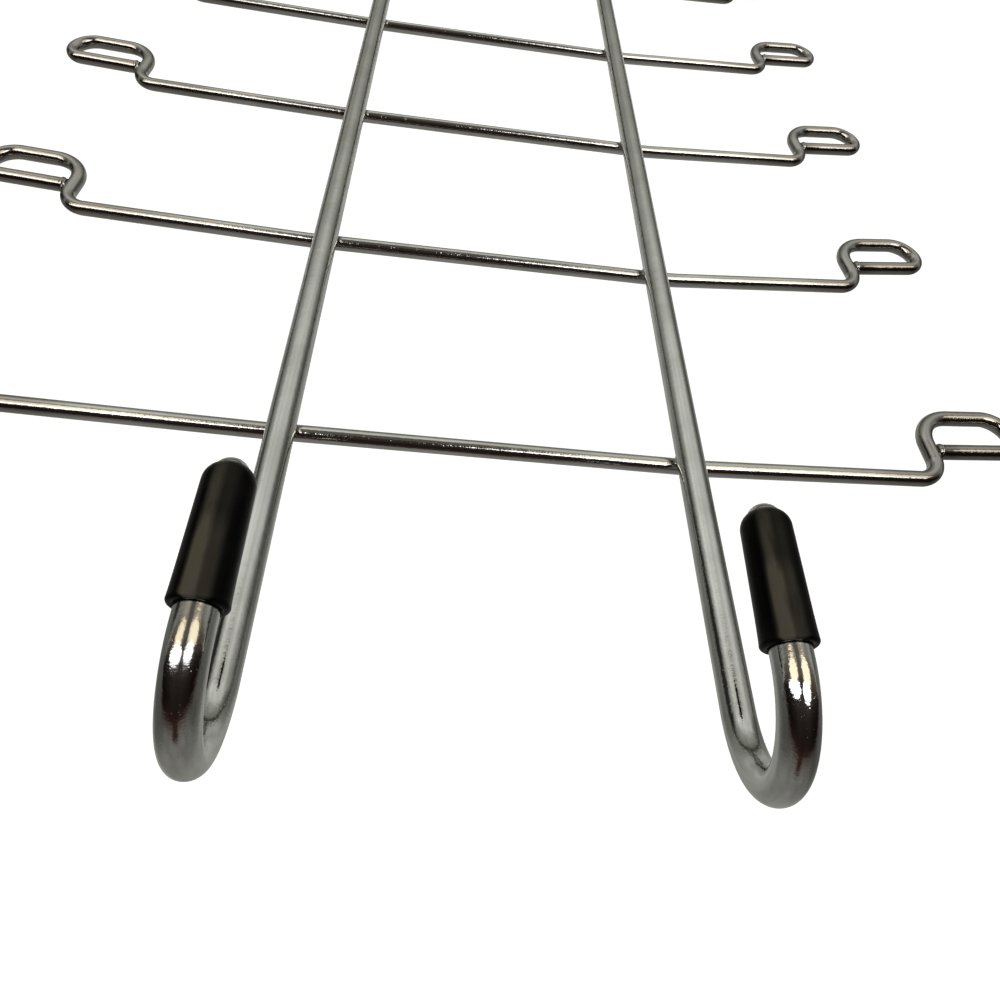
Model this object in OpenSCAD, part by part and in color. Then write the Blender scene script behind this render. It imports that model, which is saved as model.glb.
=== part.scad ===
// Scarf hanger: two hooked uprights, five cross wires with looped ends, two soft tip caps.
// Millimetres, +Z up as it hangs. The origin is on the axis of the closet rod that it hangs
// from, midway between its two hooks. +X runs along the cross wires, +Y to the back.

/* [Uprights] */
// Diameter of the round bar of the uprights
bar_d = 8; // [6:0.5:10]
// Distance between the middles of the two uprights
upright_gap = 116; // [80:1:180]
// Upright left below the middle of the last cross wire
foot_len = 14; // [8:1:60]
// Bevel round the cut lower end of each upright
foot_bevel = 0.8; // [0.3:0.1:1.5]

/* [Hooks] */
// Diameter of the closet rod that the hooks go over
closet_rod_d = 31.8; // [20:0.1:45]
// Play between that rod and the inside of a hook
hook_play = 0.8; // [0.2:0.1:4]
// How far below the rod's axis a hook starts to bend
hook_start = 0.8; // [0:0.1:4]
// Easier bend of a hook's first part, added to the rod's own radius
hook_ease = 1.2; // [0:0.1:4]
// Tighter bend of a hook's last part, taken off the rod's own radius
hook_nip = 1.5; // [0:0.1:3]
// Angle of the first part of a hook's bend, in degrees
hook_first_turn = 100; // [60:1:120]
// Angle of the last part of a hook's bend, in degrees
hook_last_turn = 71; // [55:1:110]
// Lean of each hook away from the middle, in degrees
hook_lean = 1.2; // [0.4:0.1:4]
// Straight end of a hook, from its bend to the middle of its rounded tip
hook_leg = 26.7; // [12:0.5:60]
// Turn of the left hook towards the middle, in degrees
left_turn = 4.3; // [0:0.1:15]
// Turn of the right hook towards the middle, in degrees
right_turn = 8.6; // [0:0.1:15]

/* [Cross wires] */
// Diameter of the cross wires
wire_d = 5; // [3:0.25:6]
// Drop from the closet rod's axis to the first cross wire
first_drop = 81; // [60:1:140]
// Distance from one cross wire to the next
wire_pitch = 90.7; // [60:0.5:130]
// Middle of the object to where an arm turns down into its loop, on average
arm_reach = 145.7; // [120:0.5:220]
// How far each cross wire sits towards the right
wire_shift = -3.9; // [-6:0.1:6]
// Fall of the right arms below the level, in degrees
right_fall = 6.8; // [0:0.2:12]
// Fall of the left arms below the level, in degrees
left_fall = 2.8; // [0:0.2:12]
// Share of that fall on the first wire, whose arms are nearly level
first_fall_share = 0.45; // [0.1:0.05:1]
// Radius of the slight bend where an arm leaves the upright
knee_r = 40; // [15:1:60]
// Depth to which a cross wire is welded into the upright
weld_sink = 0.3; // [0.1:0.05:0.6]
// Radius of the bead squeezed out round each weld
bead_r = 3.3; // [2.8:0.1:4]

/* [End loops] */
// Arm to the far side of the loop, between the middles of the wire
loop_drop = 24.5; // [22:0.5:40]
// Length of the loop, between the middles of the wire
loop_len = 31.8; // [26:0.2:60]
// Width of the loop, between the middles of the wire
loop_w = 14; // [12:0.5:16]
// Radius of the first half of the turn at the loop's far end, wider than the second half's
loop_far_r = 8.6; // [6.5:0.1:9]
// Radius of the bend where the arm turns down
corner_r = 7.5; // [5:0.5:8]
// Angle of that bend, in degrees
corner_turn = 92.4; // [85:0.2:100]
// Radius of the bend where the wire turns outwards again
shoulder_r = 11; // [6:0.5:12]
// Turn of the loop to the back, about the arm, in degrees
loop_tilt = 3.5; // [0:0.5:15]
// Depth to which the wire's end is welded into the leg of the loop
butt_sink = 0.6; // [0.3:0.1:1]

/* [Tip caps] */
// Length of a cap, rim to dome
cap_len = 29.8; // [15:0.5:60]
// Wall of a cap
cap_wall = 1.45; // [0.8:0.05:3]
// Gap between a cap and the bar inside it
cap_fit = 0.05; // [0.02:0.01:0.2]
// Radius of the rolled lip at the rim
lip_r = 0.85; // [0.4:0.05:1.2]
// How far that lip stands proud of the sleeve
lip_proud = 0.1; // [0.02:0.02:0.5]
// Bar showing through the middle of the dome
nose_proud = 0.5; // [0.2:0.1:1]

/* [Hidden] */
$fn = 64;
tiers = 5;

chrome = [0.76, 0.77, 0.78];
vinyl = [0.07, 0.07, 0.08];

LEFT = -1;
RIGHT = 1;

// Centreline radius of the hooks, and the plane in which the uprights stand
hook_r = (closet_rod_d + hook_play + bar_d) / 2;
bar_y = -hook_r * cos((left_turn + right_turn) / 2);
foot_z = tier_z(tiers) - foot_len;

// Radius of the slight bend that makes a hook lean
lean_r = 60;

// The wires lie on the front of the uprights, sunk by the weld
wire_y = bar_y - (bar_d + wire_d) / 2 + weld_sink;
seat_y = bar_y - bar_d / 2 + weld_sink / 2;

// Straight stretch of a wire past the upright, before the knee of the arm
knee_clear = 2;

// A bar draws out by a hair where it is bent, and its straights reach that far into the bend
bend_thinning = 0.02;
bend_lap = 0.05;

// The bar's tip narrows to a round nose that pokes through the cap's dome
cap_r = bar_d / 2 + cap_wall;
nose_taper = 20;
nose_r = bar_d * 0.37;
nose_top = cap_r + nose_proud;

function tier_z(tier) = -first_drop - (tier - 1) * wire_pitch;
function turn_in(side) = side * (side == RIGHT ? right_turn : left_turn);
function fall(side, tier) =
    (side == RIGHT ? right_fall : left_fall) * (tier == 1 ? first_fall_share : 1);

// A bar's path is a list of moves. A move is [straight run, bend radius, bend angle, roll]:
// the bar runs straight, rolls about itself and bends towards its own +X, or towards -X for
// a negative angle. Places its child at the end of one move, which starts along +Z.
module past(move) {
    radius = sign(move[2]) * move[1];
    translate([0, 0, move[0]])
    rotate([0, 0, move[3]])
    translate([radius * (1 - cos(move[2])), 0, radius * sin(move[2])])
    rotate([0, move[2], 0])
        children();
}

// Places its child at the end of a whole path
module end_of(moves, i = 0) {
    if (i < len(moves)) {
        past(moves[i])
        end_of(moves, i + 1)
            children();
    } else {
        children();
    }
}

// A round bar along a path. The straights lap into the bends at each end.
module bent_bar(d, moves, i = 0) {
    if (i < len(moves)) {
        run = moves[i][0];
        turn = moves[i][2];
        lap_before = i > 0 ? bend_lap : 0;
        lap_after = turn != 0 ? bend_lap : 0;
        translate([0, 0, -lap_before])
            cylinder(d = d, h = lap_before + run + lap_after);
        if (turn != 0)
            translate([0, 0, run])
            rotate([0, 0, moves[i][3]])
            mirror([turn < 0 ? 1 : 0, 0, 0])
                elbow(d - bend_thinning, moves[i][1], abs(turn));
        past(moves[i])
            bent_bar(d, moves, i + 1);
    }
}

// One bend, from heading +Z round towards +X
module elbow(d, radius, turn) {
    translate([radius, 0, 0])
    rotate([90, 0, 180])
    rotate_extrude(angle = turn)
        translate([radius, 0])
            circle(d = d);
}

// The rounded tip of the bar, grown by a gap: used for the bar itself and for the cap's bore
module nose(gap = 0) {
    rise = nose_top - nose_r;
    tip_r = nose_r + gap;
    base_r = bar_d / 2 + gap;
    contact_r = tip_r * cos(nose_taper);
    contact_z = rise + tip_r * sin(nose_taper);
    taper_h = (base_r - contact_r) / tan(nose_taper);
    cylinder(r = base_r, h = contact_z - taper_h);
    translate([0, 0, contact_z - taper_h])
        cylinder(r1 = base_r, r2 = contact_r, h = taper_h);
    translate([0, 0, rise])
    intersection() {
        sphere(r = tip_r);
        translate([0, 0, tip_r * sin(nose_taper)])
            cylinder(r = base_r, h = tip_r);
    }
}

// Places its child just above the bevel of one upright's foot, with +X towards the hook's tip
module at_foot(side) {
    translate([side * upright_gap / 2, bar_y, foot_z + foot_bevel])
    rotate([0, 0, 90 + turn_in(side)])
        children();
}

// The moves of one upright, from its foot to the middle of its rounded tip
function upright_path(side) =
    let (rise = -foot_z - foot_bevel - hook_start - lean_r * sin(hook_lean))
    [
        [rise, lean_r, hook_lean, side * -90],
        [0, hook_r + hook_ease, hook_first_turn, side * 90],
        [0, hook_r - hook_nip, hook_last_turn, 0],
        [hook_leg, 0, 0, 0]
    ];

// One bar: a bevelled foot, the straight upright, the hook and its tapered nose
module upright(side) {
    color(chrome)
    at_foot(side) {
        translate([0, 0, -foot_bevel])
            cylinder(d1 = bar_d - 2 * foot_bevel, d2 = bar_d, h = foot_bevel);
        bent_bar(bar_d, upright_path(side));
        end_of(upright_path(side))
            nose();
    }
}

// The moves of one half of a cross wire, from its middle to the end welded onto the loop's
// leg. The arm is as long as it takes to bring the leg to its place.
function half_wire(side, tier) =
    let (
        to_knee = upright_gap / 2 + bar_d / 2 + knee_clear,
        reach = arm_reach + side * wire_shift,
        angle = fall(side, tier),
        arm_run = (reach - to_knee - knee_r * sin(angle)) / cos(angle) - corner_r,
        near_r = loop_w - loop_far_r
    )
    [
        [to_knee, knee_r, angle, 0],
        [arm_run, corner_r, corner_turn, side * loop_tilt],
        [loop_drop - corner_r - shoulder_r, shoulder_r, -90, 0],
        [loop_len - shoulder_r - loop_far_r, loop_far_r, -90, 0],
        [0, near_r, -90, 0],
        [loop_len - near_r - wire_d / 2 + butt_sink, 0, 0, 0]
    ];

// One half of a wire, heading outwards and bending down
module wire_half(side, tier) {
    rotate([0, side * 90, 0])
    rotate([0, 0, side == RIGHT ? 0 : 180])
        bent_bar(wire_d, half_wire(side, tier));
}

// One wire, bent at both ends and seated on both uprights
module cross_wire(tier) {
    color(chrome)
    difference() {
        translate([0, wire_y, tier_z(tier)]) {
            wire_half(LEFT, tier);
            wire_half(RIGHT, tier);
        }
        for (side = [LEFT, RIGHT])
            crossed_bar(side, tier);
    }
}

// The stretch of an upright that a wire crosses
module crossed_bar(side, tier) {
    translate([side * upright_gap / 2, bar_y, tier_z(tier) - wire_d])
        cylinder(d = bar_d, h = 2 * wire_d);
}

// The bead squeezed out between bar and wire at every crossing
module weld_beads() {
    color(chrome)
    for (tier = [1:tiers], side = [LEFT, RIGHT])
        difference() {
            translate([side * upright_gap / 2, seat_y, tier_z(tier)])
                sphere(r = bead_r);
            crossed_bar(side, tier);
            translate([side * upright_gap / 2 - bar_d, wire_y, tier_z(tier)])
            rotate([0, 90, 0])
                cylinder(d = wire_d, h = 2 * bar_d);
        }
}

// A soft sleeve with a domed end, a rolled lip and a hole that the nose pokes through
module tip_cap(side) {
    sleeve_len = cap_len - cap_r;
    color(vinyl)
    at_foot(side)
    end_of(upright_path(side))
    difference() {
        union() {
            translate([0, 0, lip_r - sleeve_len])
                cylinder(r = cap_r, h = sleeve_len - lip_r);
            intersection() {
                sphere(r = cap_r);
                cylinder(r = 2 * cap_r, h = cap_r);
            }
            translate([0, 0, lip_r - sleeve_len])
            rotate_extrude()
                translate([cap_r + lip_proud - lip_r, 0])
                    circle(r = lip_r);
        }
        translate([0, 0, -sleeve_len - 1])
            cylinder(d = bar_d + 2 * cap_fit, h = sleeve_len + 1);
        nose(cap_fit);
    }
}

upright(LEFT);  // left_upright
upright(RIGHT);  // right_upright
for (tier = [1:tiers])
    cross_wire(tier);
weld_beads();
tip_cap(LEFT);  // left_tip_cap
tip_cap(RIGHT);  // right_tip_cap
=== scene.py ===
"""Looks of a scarf hanger: a chromed wire rack with two hooks and two black tip caps.

Metres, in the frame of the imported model: +Z up as the hanger hangs, +X along its cross wires,
+Y to the back, origin on the axis of the closet rod midway between the hooks.
"""

import math

import bmesh
import bpy
from mathutils import Matrix, Vector


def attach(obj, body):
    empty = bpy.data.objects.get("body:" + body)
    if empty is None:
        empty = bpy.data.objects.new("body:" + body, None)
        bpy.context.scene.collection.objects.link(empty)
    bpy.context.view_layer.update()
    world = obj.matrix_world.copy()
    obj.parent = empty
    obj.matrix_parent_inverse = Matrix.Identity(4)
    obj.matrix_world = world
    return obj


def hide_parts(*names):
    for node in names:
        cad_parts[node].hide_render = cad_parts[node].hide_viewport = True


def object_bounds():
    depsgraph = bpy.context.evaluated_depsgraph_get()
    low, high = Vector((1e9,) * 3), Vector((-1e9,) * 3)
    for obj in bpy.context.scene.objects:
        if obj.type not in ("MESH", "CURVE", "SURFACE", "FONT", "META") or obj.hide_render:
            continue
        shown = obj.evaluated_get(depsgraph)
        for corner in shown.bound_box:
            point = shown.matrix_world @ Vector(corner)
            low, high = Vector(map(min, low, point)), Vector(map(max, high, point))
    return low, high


bl_info = {
    "name": "Scarf Hanger",
    "version": (1, 0, 0),
    "blender": (4, 5, 0),
    "location": "3D View > Sidebar > Scarf Hanger",
    "description": "Builds the chromed wires, welds and tip caps of a scarf hanger, and its stage",
    "category": "Object",
}

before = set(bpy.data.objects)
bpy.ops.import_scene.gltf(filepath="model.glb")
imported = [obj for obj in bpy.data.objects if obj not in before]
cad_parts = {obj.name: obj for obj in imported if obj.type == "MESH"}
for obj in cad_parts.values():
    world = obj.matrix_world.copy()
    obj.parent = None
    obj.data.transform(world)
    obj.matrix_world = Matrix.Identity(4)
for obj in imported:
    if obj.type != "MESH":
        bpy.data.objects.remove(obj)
CAD_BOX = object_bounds()

MM = 0.001
LEFT = -1
RIGHT = 1
SIDE_NAMES = {LEFT: "left", RIGHT: "right"}
TIERS = 5

# Places on the hanger, the same named values as in the CAD source
UPRIGHT_GAP = 116 * MM
FIRST_DROP = 81 * MM
WIRE_PITCH = 90.7 * MM
FOOT_LEN = 14 * MM
HOOK_GAP = 32.6 * MM
HOOK_START = 0.8 * MM
HOOK_EASE = 1.2 * MM
HOOK_NIP = 1.5 * MM
HOOK_FIRST_TURN = math.radians(100)
HOOK_LAST_TURN = math.radians(71)
HOOK_LEAN = math.radians(1.2)
LEAN_R = 60 * MM
HOOK_LEG = 26.7 * MM
TURN_IN = {LEFT: math.radians(-4.3), RIGHT: math.radians(8.6)}
ARM_REACH = 145.7 * MM
WIRE_SHIFT = -3.9 * MM
FALL = {LEFT: math.radians(2.8), RIGHT: math.radians(6.8)}
FIRST_FALL_SHARE = 0.45
KNEE_R = 40 * MM
KNEE_CLEAR = 2 * MM
WELD_SINK = 0.3 * MM
CORNER_R = 7.5 * MM
CORNER_TURN = math.radians(92.4)
SHOULDER_R = 11 * MM
LOOP_DROP = 24.5 * MM
LOOP_LEN = 31.8 * MM
LOOP_W = 14 * MM
LOOP_FAR_R = 8.6 * MM
LOOP_TILT = math.radians(3.5)
NOSE_TAPER = math.radians(20)
LIP_PROUD = 0.1 * MM
QUARTER = math.radians(90)

# Finer shapes that the CAD source leaves to this file: the nose and the hole round it as shares
# of the bar's diameter, how full the dome's shoulders are, and how fine round shapes are cut
NOSE_SHARE = 0.45
HOLE_SHARE = 0.37
FULLNESS = 0.9
NOSE_STEPS = 9
DOME_STEPS = 16
LIP_STEPS = 14
BAR_STEP = math.radians(3)
WIRE_STEP = math.radians(4)
SHARP = math.radians(40)
# Burr and groove where a loop's end is welded on: run in millimetres, growth over that run
BURR = [(0.5, 1.05), (0.35, 1.05), (0.3, 0.98), (0.2, 0.9), (0.25, 0.92), (0.6, 1.05)]
BURR_LEN = 1.6 * MM

# The room that the chrome mirrors. Its tones go round the hanger by an angle called over: 0 is
# straight down, 90 the back, 180 straight up, -90 the front. Aside is the angle to the right.
ROOM = [
    (-180, (0.06, 0.03, 0.025)),
    # Grey table under the front
    (-168, (0.18, 0.16, 0.145)),
    (-150, (0.25, 0.24, 0.225)),
    (-90, (0.29, 0.29, 0.27)),
    (-35, (0.5, 0.5, 0.465)),
    (-12, (0.52, 0.52, 0.48)),
    # Far edge of the table
    (0, (0.24, 0.24, 0.21)),
    (12, (0.24, 0.24, 0.21)),
    (30, (0.48, 0.48, 0.44)),
    # Pale far wall
    (42, (0.85, 0.85, 0.79)),
    (56, (0.98, 0.99, 0.94)),
    (68, (0.75, 0.73, 0.65)),
    (80, (0.4, 0.36, 0.29)),
    # Brown ceiling, and the dark above the viewer
    (108, (0.2, 0.15, 0.12)),
    (128, (0.03, 0.024, 0.022)),
    (168, (0.014, 0.01, 0.009)),
    (180, (0.05, 0.022, 0.018)),
]
# Shadows in it: left and right edge aside, low and high edge over, softness of the edges aside
# and over, all in degrees, and colour
SHADOWS = [
    (-100, 100, 0, 7, 5.0, 1.5, (0.05, 0.05, 0.042)),
    (-75, -50, 3, 52, 6.0, 9.0, (0.03, 0.029, 0.024)),
    (-12, 7, 66, 104, 3.0, 8.0, (0.15, 0.135, 0.115)),
    (-12, 7, 104, 130, 3.0, 6.0, (0.045, 0.036, 0.03)),
    (-9, 9, -200, -160, 4.0, 6.0, (0.05, 0.026, 0.021)),
]
# Oval lights in it: place aside and over and reach aside and over, in degrees, softness of the
# edge as a share of the reach, and colour
LIGHTS = [
    (-33, 97, 18, 14, 0.25, (2.0, 1.7, 1.25)),
    (29, 97, 20, 15, 0.25, (1.95, 1.7, 1.27)),
    (-36, 117.5, 27, 9.5, 0.12, (4.0, 4.0, 4.0)),
    (22, 117.5, 18.5, 9.5, 0.12, (4.0, 4.0, 4.0)),
]
FLOOR_REACH = 9.0
CAMERA_PLACE = (-18.178, 145.54, 70.81)
CAMERA_RIGHT = (0.99187851, 0.12712739, -0.00395562)
CAMERA_UP = (-0.08082782, 0.60601536, -0.79133573)


class HangerSizes(bpy.types.PropertyGroup):
    """Sizes of the bars, wires, welds and caps"""

    bar_d: bpy.props.FloatProperty(
        name="Upright bar", description="Diameter of the round bar of the uprights",
        default=8 * MM, min=4 * MM, max=12 * MM, unit="LENGTH")
    foot_bevel: bpy.props.FloatProperty(
        name="Foot bevel", description="Bevel round the cut lower end of each upright",
        default=0.8 * MM, min=0, max=2 * MM, unit="LENGTH")
    wire_d: bpy.props.FloatProperty(
        name="Cross wire", description="Diameter of the cross wires",
        default=5 * MM, min=2 * MM, max=8 * MM, unit="LENGTH")
    cap_len: bpy.props.FloatProperty(
        name="Cap length", description="Length of a tip cap from its rim to its dome",
        default=29.8 * MM, min=15 * MM, max=60 * MM, unit="LENGTH")
    cap_wall: bpy.props.FloatProperty(
        name="Cap wall", description="Wall of a tip cap",
        default=1.45 * MM, min=0.5 * MM, max=3 * MM, unit="LENGTH")
    lip_r: bpy.props.FloatProperty(
        name="Cap lip", description="Radius of the rolled lip at the rim of a cap",
        default=0.85 * MM, min=0.2 * MM, max=1.5 * MM, unit="LENGTH")
    dome_flat: bpy.props.FloatProperty(
        name="Dome flat", description="How much lower a cap's dome is than a half ball",
        default=0.9 * MM, min=0, max=2 * MM, unit="LENGTH")
    cap_taper: bpy.props.FloatProperty(
        name="Cap taper", description="How much thinner a cap is at its dome than at its rim",
        default=0.35 * MM, min=0, max=1 * MM, unit="LENGTH")
    nose_proud: bpy.props.FloatProperty(
        name="Bar tip", description="Bar that shows through the middle of the dome",
        default=0.35 * MM, min=0, max=2 * MM, unit="LENGTH")


class HangerFinish(bpy.types.PropertyGroup):
    """Colours and gloss of the chrome and of the soft vinyl"""

    chrome: bpy.props.FloatVectorProperty(
        name="Chrome", description="Colour of the chrome plating",
        default=(0.56, 0.565, 0.55), min=0, max=1, size=3, subtype="COLOR")
    chrome_dull: bpy.props.FloatVectorProperty(
        name="Dull chrome", description="Colour where the plating is hazy",
        default=(0.47, 0.475, 0.455), min=0, max=1, size=3, subtype="COLOR")
    # Darker chrome colour towards the wires' end loops
    chrome_ends: bpy.props.FloatVectorProperty(
        name="Chrome ends", description="Colour that the wires' chrome darkens to towards the end loops",
        default=(0.345, 0.335, 0.315), min=0, max=1, size=3, subtype="COLOR")
    vinyl: bpy.props.FloatVectorProperty(
        name="Vinyl", description="Colour of the tip caps",
        default=(0.0015, 0.0016, 0.0017), min=0, max=1, size=3, subtype="COLOR")
    # Colour of the painted sheen down the caps' outer side, which also tints their faint dust
    vinyl_sheen_and_dust: bpy.props.FloatVectorProperty(
        name="Painted sheen and dust on vinyl", description="Colour of the caps where they are rubbed or dusty",
        default=(0.08, 0.074, 0.058), min=0, max=1, size=3, subtype="COLOR")


class StageLook(bpy.types.PropertyGroup):
    """Colour, added light and drop of the floor"""

    floor: bpy.props.FloatVectorProperty(
        name="Floor", description="Colour of the floor",
        default=(0.86, 0.86, 0.85), min=0, max=1, size=3, subtype="COLOR")
    floor_lift: bpy.props.FloatProperty(
        name="Floor lift", description="Light that the floor adds of its own where it is seen",
        default=1.0, min=0, max=2)
    floor_drop: bpy.props.FloatProperty(
        name="Floor drop", description="Gap between the lowest point of the hanger and the floor",
        default=0.2 * MM, min=0, max=50 * MM, unit="LENGTH")


# Meshes


def ring(bm, d, place, segments):
    """The edges of a new circle across a bar's path."""
    circle = bmesh.ops.create_circle(
        bm, cap_ends=False, radius=d / 2, segments=segments, matrix=place)
    return list({e for v in circle["verts"] for e in v.link_edges})


def run_on(bm, edges, place, length, scale=1.0, steps=1):
    """Extrudes a ring along the path, and returns the new ring and the new place."""
    for _ in range(steps):
        grown = bmesh.ops.extrude_edge_only(bm, edges=edges)
        verts = [g for g in grown["geom"] if isinstance(g, bmesh.types.BMVert)]
        edges = [g for g in grown["geom"] if isinstance(g, bmesh.types.BMEdge)]
        edges = [e for e in edges if all(v in set(verts) for v in e.verts)]
        move = (place.to_3x3() @ Vector((0, 0, length / steps)))
        bmesh.ops.translate(bm, verts=verts, vec=move)
        place = Matrix.Translation(move) @ place
        if scale != 1.0:
            grow = scale ** (1 / steps)
            bmesh.ops.scale(bm, verts=verts, vec=(grow, grow, grow), space=place.inverted())
    return edges, place


def bend_on(bm, edges, place, radius, turn, step):
    """Spins a ring round a bend towards the path's own +X, or -X for a negative turn."""
    way = 1 if turn > 0 else -1
    centre = place @ Vector((way * radius, 0, 0))
    axis = place.to_3x3() @ Vector((0, way, 0))
    spun = bmesh.ops.spin(
        bm, geom=edges, cent=centre, axis=axis, angle=abs(turn), dvec=(0, 0, 0),
        steps=max(2, math.ceil(abs(turn) / step)), use_merge=False)
    edges = [g for g in spun["geom_last"] if isinstance(g, bmesh.types.BMEdge)]
    place = (Matrix.Translation(centre) @ Matrix.Rotation(abs(turn), 4, axis)
             @ Matrix.Translation(-centre) @ place)
    return edges, place


def follow(bm, edges, place, moves, step):
    """Sweeps a ring along moves of (straight run, bend radius, turn, roll)."""
    for run, radius, turn, roll in moves:
        if run > 0:
            edges, place = run_on(bm, edges, place, run, steps=max(1, round(run / (8 * MM))))
        place = place @ Matrix.Rotation(roll, 4, "Z")
        if turn:
            edges, place = bend_on(bm, edges, place, radius, turn, step)
    return edges, place


def close_end(bm, edges):
    """Closes a ring with a flat face."""
    bmesh.ops.edgeloop_fill(bm, edges=edges)


def finish_mesh(bm, name, material):
    """Turns a bmesh into a smooth-shaded piece that rides on the hanger's one body."""
    bmesh.ops.remove_doubles(bm, verts=bm.verts, dist=1e-7)
    bmesh.ops.recalc_face_normals(bm, faces=bm.faces)
    mesh = bpy.data.meshes.new(name)
    bm.to_mesh(mesh)
    bm.free()
    mesh.materials.append(material)
    mesh.shade_smooth()
    mesh.set_sharp_from_angle(angle=SHARP)
    piece = bpy.data.objects.new(name, mesh)
    bpy.context.scene.collection.objects.link(piece)
    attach(piece, "root")
    return piece


def hook_radius(sizes):
    return (HOOK_GAP + sizes.bar_d) / 2


def bar_y(sizes):
    """The plane in which the uprights stand."""
    return -hook_radius(sizes) * math.cos((TURN_IN[RIGHT] - TURN_IN[LEFT]) / 2)


def wire_y(sizes):
    """The plane of the cross wires, on the front of the uprights."""
    return bar_y(sizes) - (sizes.bar_d + sizes.wire_d) / 2 + WELD_SINK


def tier_z(tier):
    return -FIRST_DROP - (tier - 1) * WIRE_PITCH


def at_foot(side, sizes):
    """Place of an upright's foot, with +X towards the tip of its hook."""
    spot = Vector((side * UPRIGHT_GAP / 2, bar_y(sizes), tier_z(TIERS) - FOOT_LEN))
    return Matrix.Translation(spot) @ Matrix.Rotation(QUARTER + TURN_IN[side], 4, "Z")


def upright_path(side, sizes):
    """Moves of an upright, from above its foot's bevel to the middle of its rounded tip."""
    rise = FOOT_LEN - tier_z(TIERS) - sizes.foot_bevel - HOOK_START
    radius = hook_radius(sizes)
    return [
        (rise - LEAN_R * math.sin(HOOK_LEAN), LEAN_R, HOOK_LEAN, -side * QUARTER),
        (0, radius + HOOK_EASE, HOOK_FIRST_TURN, side * QUARTER),
        (0, radius - HOOK_NIP, HOOK_LAST_TURN, 0),
        (HOOK_LEG, 0, 0, 0),
    ]


def half_wire(side, tier, sizes):
    """Moves of one half of a cross wire, from its middle to the end of its loop."""
    to_knee = UPRIGHT_GAP / 2 + sizes.bar_d / 2 + KNEE_CLEAR
    reach = ARM_REACH + side * WIRE_SHIFT
    fall = FALL[side] * (FIRST_FALL_SHARE if tier == 1 else 1)
    arm = (reach - to_knee - KNEE_R * math.sin(fall)) / math.cos(fall) - CORNER_R
    return [
        (to_knee, KNEE_R, fall, 0),
        (arm, CORNER_R, CORNER_TURN, side * LOOP_TILT),
        (LOOP_DROP - CORNER_R - SHOULDER_R, SHOULDER_R, -QUARTER, 0),
        (LOOP_LEN - SHOULDER_R - LOOP_FAR_R, LOOP_FAR_R, -QUARTER, 0),
        (0, LOOP_W - LOOP_FAR_R, -QUARTER, 0),
    ]


def past(place, moves):
    """The place at the end of a path."""
    for run, radius, turn, roll in moves:
        place = place @ Matrix.Translation((0, 0, run)) @ Matrix.Rotation(roll, 4, "Z")
        reach = math.copysign(radius, turn)
        place = place @ Matrix.Translation(
            (reach * (1 - math.cos(turn)), 0, reach * math.sin(turn)))
        place = place @ Matrix.Rotation(turn, 4, "Y")
    return place


# Materials


class Nodes:
    """Adds and links shader nodes in one tree."""

    def __init__(self, tree):
        self.tree = tree

    def add(self, kind, inputs=None, **settings):
        node = self.tree.nodes.new(kind)
        for key, value in settings.items():
            setattr(node, key, value)
        for key, value in (inputs or {}).items():
            socket = node.inputs[key]
            if isinstance(value, bpy.types.NodeSocket):
                self.tree.links.new(value, socket)
            else:
                socket.default_value = value
        return node

    def link(self, source, target):
        self.tree.links.new(source, target)

    def maths(self, operation, a, b=0.0, clamp=False):
        node = self.add("ShaderNodeMath", {0: a, 1: b}, operation=operation, use_clamp=clamp)
        return node.outputs[0]

    def span(self, value, low, high, out_low=0.0, out_high=1.0, kind="SMOOTHSTEP"):
        """A value mapped from one range to another, with soft ends."""
        node = self.add(
            "ShaderNodeMapRange",
            {"Value": value, "From Min": low, "From Max": high,
             "To Min": out_low, "To Max": out_high},
            interpolation_type=kind)
        return node.outputs["Result"]

    def window(self, value, low, high, soft):
        """1 where a value lies between two limits, and 0 outside them."""
        rise = self.span(value, low - soft, low + soft)
        fall = self.span(value, high - soft, high + soft, 1.0, 0.0)
        return self.maths("MULTIPLY", rise, fall)

    def squared(self, value, centre, reach):
        """How far a value lies from a centre, as a squared share of a reach."""
        share = self.maths("DIVIDE", self.maths("SUBTRACT", value, centre), reach)
        return self.maths("MULTIPLY", share, share)

    def degrees(self, angle):
        return self.maths("MULTIPLY", angle, 180 / math.pi)

    def mix(self, factor, a, b, blend="MIX"):
        node = self.add("ShaderNodeMix", data_type="RGBA", blend_type=blend)
        for socket, value in ((node.inputs[0], factor), (node.inputs[6], a), (node.inputs[7], b)):
            if isinstance(value, bpy.types.NodeSocket):
                self.link(value, socket)
            else:
                socket.default_value = value
        return node.outputs[2]


def rgba(colour):
    return (*colour, 1.0)


def new_group(name, inputs, outputs):
    """A shader node group with named float or vector sockets."""
    tree = bpy.data.node_groups.new(name, "ShaderNodeTree")
    kinds = {"value": "NodeSocketFloat", "vector": "NodeSocketVector", "colour": "NodeSocketColor"}
    for label, kind, default in inputs:
        socket = tree.interface.new_socket(name=label, in_out="INPUT", socket_type=kinds[kind])
        if default is not None:
            socket.default_value = default
    for label, kind in outputs:
        tree.interface.new_socket(name=label, in_out="OUTPUT", socket_type=kinds[kind])
    nodes = Nodes(tree)
    return tree, nodes, nodes.add("NodeGroupInput"), nodes.add("NodeGroupOutput")


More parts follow.
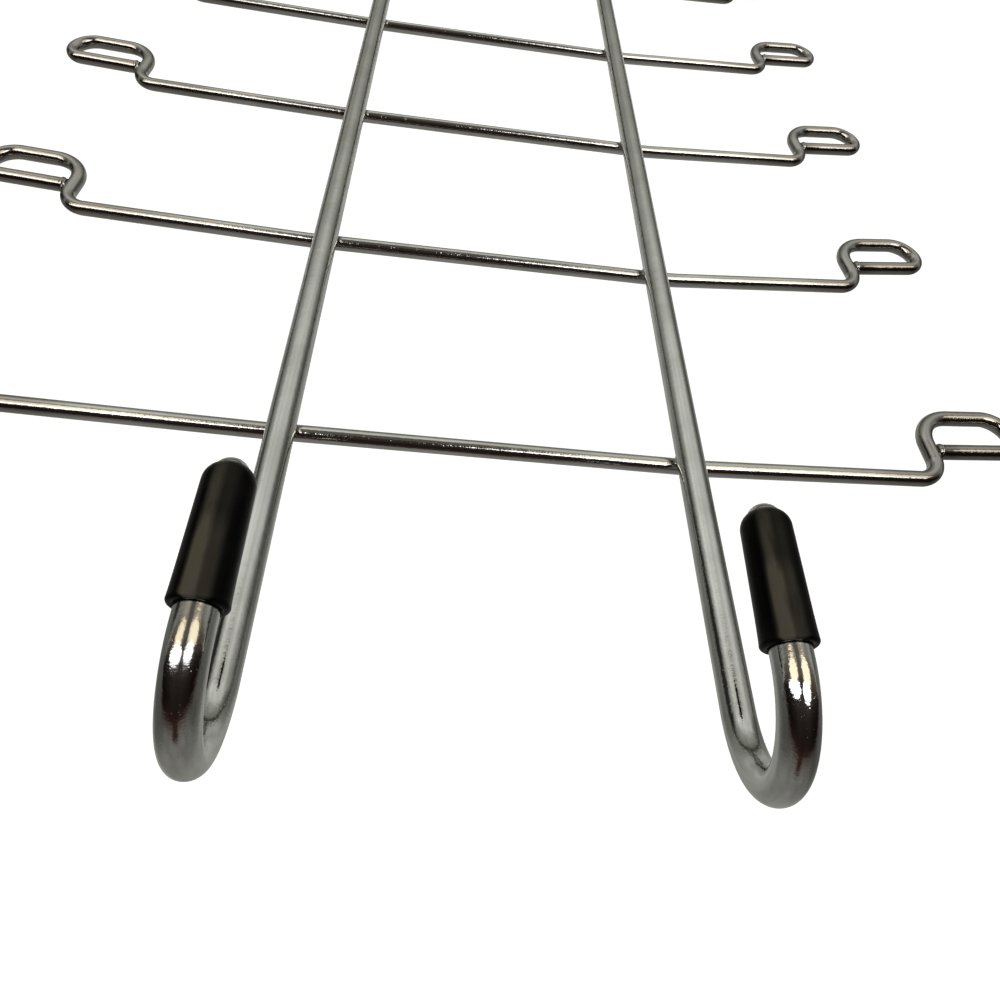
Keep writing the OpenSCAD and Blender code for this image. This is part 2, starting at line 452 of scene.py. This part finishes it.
def plating_group():
    """Haze, pits and fine ripple of plated steel, from a place on the object."""
    tree, nodes, given, out = new_group(
        "plating", [("Place", "vector", None), ("Pits", "value", 0.5)],
        [("Haze", "value"), ("Pit mask", "value"), ("Height", "value")])
    place = given.outputs["Place"]
    cloud = nodes.add("ShaderNodeTexNoise", {"Vector": place, "Scale": 55.0, "Detail": 4.0})
    haze = nodes.span(cloud.outputs["Fac"], 0.35, 0.7)
    specks = nodes.add("ShaderNodeTexVoronoi", {"Vector": place, "Scale": 1500.0})
    pit = nodes.span(specks.outputs["Distance"], 0.28, 0.12)
    patch = nodes.add("ShaderNodeTexNoise", {"Vector": place, "Scale": 260.0, "Detail": 3.0})
    where = nodes.span(patch.outputs["Fac"], 0.5, 0.66)
    pit = nodes.maths("MULTIPLY", nodes.maths("MULTIPLY", pit, where), given.outputs["Pits"])
    grit = nodes.add("ShaderNodeTexNoise", {"Vector": place, "Scale": 1700.0, "Detail": 2.0})
    ripple = nodes.add("ShaderNodeTexNoise", {"Vector": place, "Scale": 350.0, "Detail": 1.0})
    height = nodes.maths("MULTIPLY", grit.outputs["Fac"], 0.6)
    height = nodes.maths("ADD", height, nodes.maths("MULTIPLY", ripple.outputs["Fac"], 1.2))
    height = nodes.maths("SUBTRACT", height, nodes.maths("MULTIPLY", pit, 0.5))
    nodes.link(haze, out.inputs["Haze"])
    nodes.link(pit, out.inputs["Pit mask"])
    nodes.link(height, out.inputs["Height"])
    return tree


def chrome_material(name, finish, plating, roughness, pits, bump, ends_dulled=0.0):
    """Chrome plating with faint haze, pits and die ripple, duller towards both sides if asked."""
    material = bpy.data.materials.new(name)
    material.use_nodes = True
    material.node_tree.nodes.clear()
    nodes = Nodes(material.node_tree)
    place = nodes.add("ShaderNodeTexCoord").outputs["Object"]
    wear = nodes.add("ShaderNodeGroup", node_tree=plating)
    nodes.link(place, wear.inputs["Place"])
    wear.inputs["Pits"].default_value = pits
    colour = nodes.mix(wear.outputs["Haze"], rgba(finish.chrome), rgba(finish.chrome_dull))
    gloss = nodes.span(wear.outputs["Haze"], 0, 1, roughness * 0.8, roughness * 1.35)
    gloss = nodes.maths("ADD", gloss, nodes.maths("MULTIPLY", wear.outputs["Pit mask"], 0.2))
    if ends_dulled:
        x = nodes.add("ShaderNodeSeparateXYZ", {0: place}).outputs[0]
        dulled = nodes.span(nodes.maths("ABSOLUTE", x), 106 * MM, 130 * MM, 0, ends_dulled)
        colour = nodes.mix(dulled, colour, rgba(finish.chrome_ends))
        gloss = nodes.maths("ADD", gloss, nodes.maths("MULTIPLY", dulled, 0.05))
    relief = nodes.add("ShaderNodeBump", {"Strength": bump, "Distance": 0.1 * MM,
                                          "Height": wear.outputs["Height"]})
    surface = nodes.add("ShaderNodeBsdfPrincipled", {
        "Base Color": colour, "Metallic": 1.0, "Roughness": gloss,
        "Normal": relief.outputs["Normal"]})
    output = nodes.add("ShaderNodeOutputMaterial")
    nodes.link(surface.outputs[0], output.inputs["Surface"])
    return material


def vinyl_material(name, finish):
    """Soft black vinyl with a satin skin, a warmer and rougher painted sheen down its outer side,
    and faint dust.
    """
    material = bpy.data.materials.new(name)
    material.use_nodes = True
    material.node_tree.nodes.clear()
    nodes = Nodes(material.node_tree)
    given = nodes.add("ShaderNodeTexCoord").outputs
    place = given["Object"]
    x, _, z = nodes.add("ShaderNodeSeparateXYZ", {0: place}).outputs
    nx, ny, _ = nodes.add("ShaderNodeSeparateXYZ", {0: given["Normal"]}).outputs
    # Painted sheen: the base colour turns lighter in two bands set by which way the surface faces.
    # It is brightest towards the rim, turned 20 degrees further on the right cap, and stands in for
    # the lamps' reflection
    turned = nodes.degrees(nodes.maths("ARCTAN2", nx, ny))
    turned = nodes.maths("ADD", turned, nodes.span(x, -1 * MM, 1 * MM, 0, 20))
    wide_sheen = nodes.maths("MULTIPLY", nodes.span(turned, -34, -18), nodes.span(turned, 22, 42, 1, 0))
    narrow_sheen = nodes.maths("MULTIPLY", nodes.span(turned, -28, -14), nodes.span(turned, -8, 12, 1, 0))
    towards_rim = nodes.maths("ADD", nodes.span(z, -34 * MM, -14 * MM, 0.12, 0.5),
                              nodes.span(z, -14 * MM, -8.5 * MM, 0.0, 0.8))
    painted_sheen = nodes.maths("ADD", nodes.maths("MULTIPLY", wide_sheen, 0.33),
                         nodes.maths("MULTIPLY", narrow_sheen, 0.95))
    painted_sheen = nodes.maths("MULTIPLY", painted_sheen, towards_rim)
    drawn = nodes.add("ShaderNodeMapping", {"Vector": place, "Scale": (1.0, 1.0, 0.12)})
    streaks = nodes.add("ShaderNodeTexNoise", {
        "Vector": drawn.outputs[0], "Scale": 700.0, "Detail": 3.0})
    streaky = nodes.span(streaks.outputs["Fac"], 0.2, 0.6, 0.55, 1.0)
    painted_sheen = nodes.maths("MULTIPLY", painted_sheen, streaky)
    # Faint patches of dust, added to the painted sheen in one mask
    cloud = nodes.add("ShaderNodeTexNoise", {"Vector": place, "Scale": 180.0, "Detail": 5.0})
    dust_and_sheen = nodes.maths("MULTIPLY", nodes.span(cloud.outputs["Fac"], 0.4, 0.75), 0.04)
    dust_and_sheen = nodes.maths("ADD", painted_sheen, dust_and_sheen, clamp=True)
    grain = nodes.add("ShaderNodeTexNoise", {"Vector": place, "Scale": 1600.0, "Detail": 3.0})
    dimple = nodes.add("ShaderNodeTexNoise", {"Vector": place, "Scale": 420.0, "Detail": 2.0})
    height = nodes.maths("ADD", nodes.maths("MULTIPLY", grain.outputs["Fac"], 0.3),
                         nodes.maths("MULTIPLY", dimple.outputs["Fac"], 0.7))
    relief = nodes.add("ShaderNodeBump", {"Strength": 0.5, "Distance": 0.12 * MM,
                                          "Height": height})
    surface = nodes.add("ShaderNodeBsdfPrincipled", {
        "Base Color": nodes.mix(dust_and_sheen, rgba(finish.vinyl), rgba(finish.vinyl_sheen_and_dust)),
        "Roughness": nodes.span(dust_and_sheen, 0, 1, 0.26, 0.4),
        "Specular IOR Level": 0.06,
        "Normal": relief.outputs["Normal"]})
    output = nodes.add("ShaderNodeOutputMaterial")
    nodes.link(surface.outputs[0], output.inputs["Surface"])
    return material


def shared_materials(finish):
    """The materials, made once and looked up after that."""
    if "chrome_bar" not in bpy.data.materials:
        plating = plating_group()
        chrome_material("chrome_bar", finish, plating, 0.1, 1.0, 0.4)
        chrome_material("chrome_wire", finish, plating, 0.06, 0.8, 0.45, ends_dulled=1.0)
        chrome_material("chrome_weld", finish, plating, 0.1, 1.0, 1.0)
        vinyl_material("vinyl_cap", finish)
    return bpy.data.materials


# Operators


class SCARFHANGER_OT_uprights(bpy.types.Operator):
    """Two round bars, each with a bevelled foot, a hook and a rounded tip"""

    bl_idname = "scarfhanger.uprights"
    bl_label = "Uprights"

    def execute(self, context):
        sizes = context.scene.hanger_sizes
        chrome = shared_materials(context.scene.hanger_finish)["chrome_bar"]
        for side in (LEFT, RIGHT):
            bm = bmesh.new()
            place = at_foot(side, sizes)
            edges = ring(bm, sizes.bar_d - 2 * sizes.foot_bevel, place, 64)
            close_end(bm, edges)
            grow = sizes.bar_d / (sizes.bar_d - 2 * sizes.foot_bevel)
            edges, place = run_on(bm, edges, place, sizes.foot_bevel, scale=grow)
            edges, place = follow(bm, edges, place, upright_path(side, sizes), BAR_STEP)
            self.round_tip(bm, edges, place, sizes)
            name = SIDE_NAMES[side] + "_upright"
            piece = finish_mesh(bm, name + "_bar", chrome)
            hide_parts(name)
        return {"FINISHED"}

    def round_tip(self, bm, edges, place, sizes):
        """Tapers the bar into the round nose that pokes through its cap."""
        nose_r = sizes.bar_d * NOSE_SHARE
        rise = sizes.bar_d / 2 + sizes.cap_wall + sizes.nose_proud - nose_r
        contact_r = nose_r * math.cos(NOSE_TAPER)
        contact_z = rise + nose_r * math.sin(NOSE_TAPER)
        taper = (sizes.bar_d / 2 - contact_r) / math.tan(NOSE_TAPER)
        edges, place = run_on(bm, edges, place, contact_z - taper, steps=2)
        edges, place = run_on(
            bm, edges, place, taper, scale=contact_r / (sizes.bar_d / 2), steps=2)
        angle = NOSE_TAPER
        for i in range(NOSE_STEPS):
            turned = NOSE_TAPER + (QUARTER - NOSE_TAPER) * (i + 1) / (NOSE_STEPS + 0.35)
            lift = nose_r * (math.sin(turned) - math.sin(angle))
            shrink = math.cos(turned) / math.cos(angle)
            edges, place = run_on(bm, edges, place, lift, scale=shrink)
            angle = turned
        close_end(bm, edges)


class SCARFHANGER_OT_cross_wires(bpy.types.Operator):
    """Five wires, bent at both ends into loops whose own end is welded back on the wire"""

    bl_idname = "scarfhanger.cross_wires"
    bl_label = "Cross wires"

    def execute(self, context):
        sizes = context.scene.hanger_sizes
        chrome = shared_materials(context.scene.hanger_finish)["chrome_wire"]
        for tier in range(1, TIERS + 1):
            bm = bmesh.new()
            middle = Matrix.Translation((0, wire_y(sizes), tier_z(tier)))
            right = middle @ Matrix.Rotation(QUARTER, 4, "Y")
            edges = ring(bm, sizes.wire_d, right, 32)
            for side in (LEFT, RIGHT):
                place = middle @ Matrix.Rotation(side * QUARTER, 4, "Y")
                if side == LEFT:
                    place = place @ Matrix.Rotation(math.pi, 4, "Z")
                last, place = follow(bm, edges, place, half_wire(side, tier, sizes), WIRE_STEP)
                self.welded_end(bm, last, place, sizes)
            piece = finish_mesh(bm, f"cross_wire_{tier}_bent", chrome)
            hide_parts(f"cross_wire_{tier}")
        return {"FINISHED"}

    def welded_end(self, bm, edges, place, sizes):
        """Runs the wire's end up to the leg of its loop, with a burr and a groove there."""
        last = LOOP_LEN - (LOOP_W - LOOP_FAR_R) - sizes.wire_d / 2
        edges, place = run_on(bm, edges, place, last - BURR_LEN, steps=3)
        for run, scale in BURR:
            edges, place = run_on(bm, edges, place, run * MM, scale=scale)
        close_end(bm, edges)


class SCARFHANGER_OT_weld_beads(bpy.types.Operator):
    """The metal squeezed out at the ten welds between wires and uprights"""

    bl_idname = "scarfhanger.weld_beads"
    bl_label = "Weld beads"

    def execute(self, context):
        chrome = shared_materials(context.scene.hanger_finish)["chrome_weld"]
        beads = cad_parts["weld_beads"]
        beads.data.materials.clear()
        beads.data.materials.append(chrome)
        return {"FINISHED"}


class SCARFHANGER_OT_tip_caps(bpy.types.Operator):
    """Soft black caps pushed on the tips of the hooks"""

    bl_idname = "scarfhanger.tip_caps"
    bl_label = "Tip caps"

    def execute(self, context):
        sizes = context.scene.hanger_sizes
        vinyl = shared_materials(context.scene.hanger_finish)["vinyl_cap"]
        for side in (LEFT, RIGHT):
            name = SIDE_NAMES[side] + "_tip_cap"
            bm = bmesh.new()
            self.spin_profile(bm, sizes)
            bevelled = Matrix.Translation((0, 0, sizes.foot_bevel))
            tip = past(at_foot(side, sizes) @ bevelled, upright_path(side, sizes))
            bmesh.ops.transform(bm, matrix=tip, verts=bm.verts)
            piece = finish_mesh(bm, name + "_sleeve", vinyl)
            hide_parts(name)
        return {"FINISHED"}

    def spin_profile(self, bm, sizes):
        """Spins the section of a cap: bore, rolled lip, sleeve and pierced dome."""
        cap_r = sizes.bar_d / 2 + sizes.cap_wall
        bore_r = sizes.bar_d / 2 + 0.05 * MM
        sleeve = sizes.cap_len - cap_r
        lip_r = sizes.lip_r
        lip_at = cap_r + LIP_PROUD - lip_r
        hole_r = sizes.bar_d * HOLE_SHARE
        points = [(bore_r, 0.5 * MM), (bore_r, lip_r - sleeve)]
        for i in range(1, LIP_STEPS + 1):
            a = math.radians(-160 + 175 * i / LIP_STEPS)
            points.append((lip_at + lip_r * math.cos(a), lip_r - sleeve + lip_r * math.sin(a)))
        points.append((cap_r + 0.04 * MM, 2.1 * lip_r - sleeve))
        points.append((cap_r, 3 * lip_r - sleeve))
        points += [(cap_r - sizes.cap_taper * (1 - f), -sleeve * f) for f in (0.75, 0.5, 0.25)]
        dome_r = cap_r - sizes.cap_taper
        rise = cap_r - sizes.dome_flat
        last = math.acos((hole_r / dome_r) ** (1 / FULLNESS))
        for i in range(DOME_STEPS):
            a = last * i / DOME_STEPS
            points.append((dome_r * math.cos(a) ** FULLNESS, rise * math.sin(a) ** FULLNESS))
        edge_z = rise * math.sin(last) ** FULLNESS
        points.append((hole_r + 0.12 * MM, edge_z - 0.02 * MM))
        points.append((hole_r, edge_z - 0.25 * MM))
        points.append((hole_r, edge_z - 1.2 * MM))
        verts = [bm.verts.new((r, 0, z)) for r, z in points]
        edges = [bm.edges.new((a, b)) for a, b in zip(verts, verts[1:])]
        edges.append(bm.edges.new((verts[-1], verts[0])))
        bmesh.ops.spin(
            bm, geom=verts + edges, cent=(0, 0, 0), axis=(0, 0, 1), angle=2 * math.pi,
            dvec=(0, 0, 0), steps=72, use_merge=True)


class SCARFHANGER_OT_stage(bpy.types.Operator):
    """The pale floor, the room that the chrome mirrors, and the camera"""

    bl_idname = "scarfhanger.stage"
    bl_label = "Stage"

    def execute(self, context):
        look = context.scene.hanger_stage
        self.floor(context, look)
        self.room(context)
        self.camera(context)
        context.scene.view_settings.view_transform = "Standard"
        return {"FINISHED"}

    def floor(self, context, look):
        """A pale floor that keeps the hanger's shadow, and through which chrome sees the room."""
        bm = bmesh.new()
        bmesh.ops.create_grid(bm, x_segments=1, y_segments=1, size=FLOOR_REACH)
        level = CAD_BOX[0][2] - look.floor_drop
        bmesh.ops.translate(bm, verts=bm.verts, vec=(0, 0, level))
        mesh = bpy.data.meshes.new("floor")
        bm.to_mesh(mesh)
        bm.free()
        material = bpy.data.materials.new("floor_pale")
        material.use_nodes = True
        material.node_tree.nodes.clear()
        nodes = Nodes(material.node_tree)
        path = nodes.add("ShaderNodeLightPath").outputs
        body = nodes.add("ShaderNodeBsdfDiffuse", {"Color": rgba(look.floor)})
        shown = nodes.maths("MAXIMUM", path["Is Camera Ray"], path["Is Transmission Ray"])
        glow = nodes.add("ShaderNodeEmission", {
            "Color": rgba(look.floor), "Strength": nodes.maths("MULTIPLY", shown, look.floor_lift)})
        lit = nodes.add("ShaderNodeAddShader", {0: body.outputs[0], 1: glow.outputs[0]})
        clear = nodes.add("ShaderNodeBsdfTransparent")
        both = nodes.add("ShaderNodeMixShader", {
            0: path["Is Glossy Ray"], 1: lit.outputs[0], 2: clear.outputs[0]})
        output = nodes.add("ShaderNodeOutputMaterial")
        nodes.link(both.outputs[0], output.inputs["Surface"])
        mesh.materials.append(material)
        floor = bpy.data.objects.new("floor", mesh)
        context.scene.collection.objects.link(floor)

    def room(self, context):
        """White behind the hanger, and the room with its lights that chrome mirrors."""
        world = bpy.data.worlds.new("room")
        context.scene.world = world
        world.use_nodes = True
        world.node_tree.nodes.clear()
        nodes = Nodes(world.node_tree)
        way = nodes.add("ShaderNodeTexCoord").outputs["Generated"]
        x, y, z = nodes.add("ShaderNodeSeparateXYZ", {0: way}).outputs
        over = nodes.degrees(nodes.maths("ARCTAN2", y, nodes.maths("MULTIPLY", z, -1.0)))
        aside = nodes.degrees(nodes.maths("ARCSINE", x))
        walls = nodes.add("ShaderNodeValToRGB", {0: nodes.span(over, -180, 180, kind="LINEAR")})
        ramp = walls.color_ramp
        ramp.interpolation = "B_SPLINE"
        ramp.elements.remove(ramp.elements[1])
        ramp.elements[0].color = rgba(ROOM[0][1])
        for angle, colour in ROOM[1:]:
            ramp.elements.new((angle + 180) / 360).color = rgba(colour)
        cloud = nodes.add("ShaderNodeTexNoise", {"Vector": way, "Scale": 2.6, "Detail": 2.0})
        shade = nodes.span(cloud.outputs["Fac"], 0.3, 0.7, 0.8, 1.2, kind="LINEAR")
        sides = nodes.span(nodes.maths("ABSOLUTE", aside), 22, 58, 1.0, 0.42)
        shade = nodes.maths("MULTIPLY", shade, sides)
        colour = nodes.mix(1.0, walls.outputs[0], shade, blend="MULTIPLY")
        for left, right, low, high, soft_aside, soft_over, dark in SHADOWS:
            patch = nodes.maths("MULTIPLY", nodes.window(aside, left, right, soft_aside),
                                nodes.window(over, low, high, soft_over))
            colour = nodes.mix(patch, colour, rgba(dark))
        for at_aside, at_over, reach_aside, reach_over, soft, light in LIGHTS:
            off = nodes.maths("ADD", nodes.squared(aside, at_aside, reach_aside),
                              nodes.squared(over, at_over, reach_over))
            colour = nodes.mix(nodes.span(off, 1 - soft, 1 + soft, 1, 0), colour, rgba(light))
        path = nodes.add("ShaderNodeLightPath").outputs
        shown = nodes.maths("MAXIMUM", path["Is Camera Ray"], path["Is Transmission Ray"])
        seen = nodes.mix(shown, colour, (1, 1, 1, 1))
        back = nodes.add("ShaderNodeBackground", {"Color": seen, "Strength": 1.0})
        output = nodes.add("ShaderNodeOutputWorld")
        nodes.link(back.outputs[0], output.inputs["Surface"])

    def camera(self, context):
        """A camera at the photograph's angle, over the hooks and looking down the hanger."""
        data = bpy.data.cameras.new("view_from_hooks")
        data.sensor_width = 36
        data.sensor_fit = "HORIZONTAL"
        data.lens = 28.494
        data.clip_start = 0.01
        camera = bpy.data.objects.new("view_from_hooks", data)
        right, up = Vector(CAMERA_RIGHT), Vector(CAMERA_UP)
        back = right.cross(up).normalized()
        up = back.cross(right).normalized()
        turn = Matrix((right, up, back)).transposed().to_4x4()
        camera.matrix_world = Matrix.Translation(Vector(CAMERA_PLACE) * MM) @ turn
        context.scene.collection.objects.link(camera)
        context.scene.camera = camera


class SCARFHANGER_PT_parts(bpy.types.Panel):
    """Lists the pieces of the hanger and its stage"""

    bl_idname = "SCARFHANGER_PT_parts"
    bl_label = "Scarf Hanger"
    bl_space_type = "VIEW_3D"
    bl_region_type = "UI"
    bl_category = "Scarf Hanger"

    def draw(self, context):
        layout = self.layout
        for group in (context.scene.hanger_sizes, context.scene.hanger_finish,
                      context.scene.hanger_stage):
            box = layout.box()
            for key in group.__annotations__:
                box.prop(group, key)
        for operator in OPERATORS:
            layout.operator(operator.bl_idname)


GROUPS = {"hanger_sizes": HangerSizes, "hanger_finish": HangerFinish, "hanger_stage": StageLook}
OPERATORS = (
    SCARFHANGER_OT_uprights,
    SCARFHANGER_OT_cross_wires,
    SCARFHANGER_OT_weld_beads,
    SCARFHANGER_OT_tip_caps,
    SCARFHANGER_OT_stage,
)


def register():
    for group in GROUPS.values():
        bpy.utils.register_class(group)
    for name, group in GROUPS.items():
        setattr(bpy.types.Scene, name, bpy.props.PointerProperty(type=group))
    for operator in OPERATORS:
        bpy.utils.register_class(operator)
    bpy.utils.register_class(SCARFHANGER_PT_parts)


def unregister():
    bpy.utils.unregister_class(SCARFHANGER_PT_parts)
    for operator in reversed(OPERATORS):
        bpy.utils.unregister_class(operator)
    for name in GROUPS:
        delattr(bpy.types.Scene, name)
    for group in reversed(list(GROUPS.values())):
        bpy.utils.unregister_class(group)


def main():
    register()
    bpy.ops.scarfhanger.uprights()
    bpy.ops.scarfhanger.cross_wires()
    bpy.ops.scarfhanger.weld_beads()
    bpy.ops.scarfhanger.tip_caps()
    bpy.ops.scarfhanger.stage()


if __name__ == "__main__":
    main()
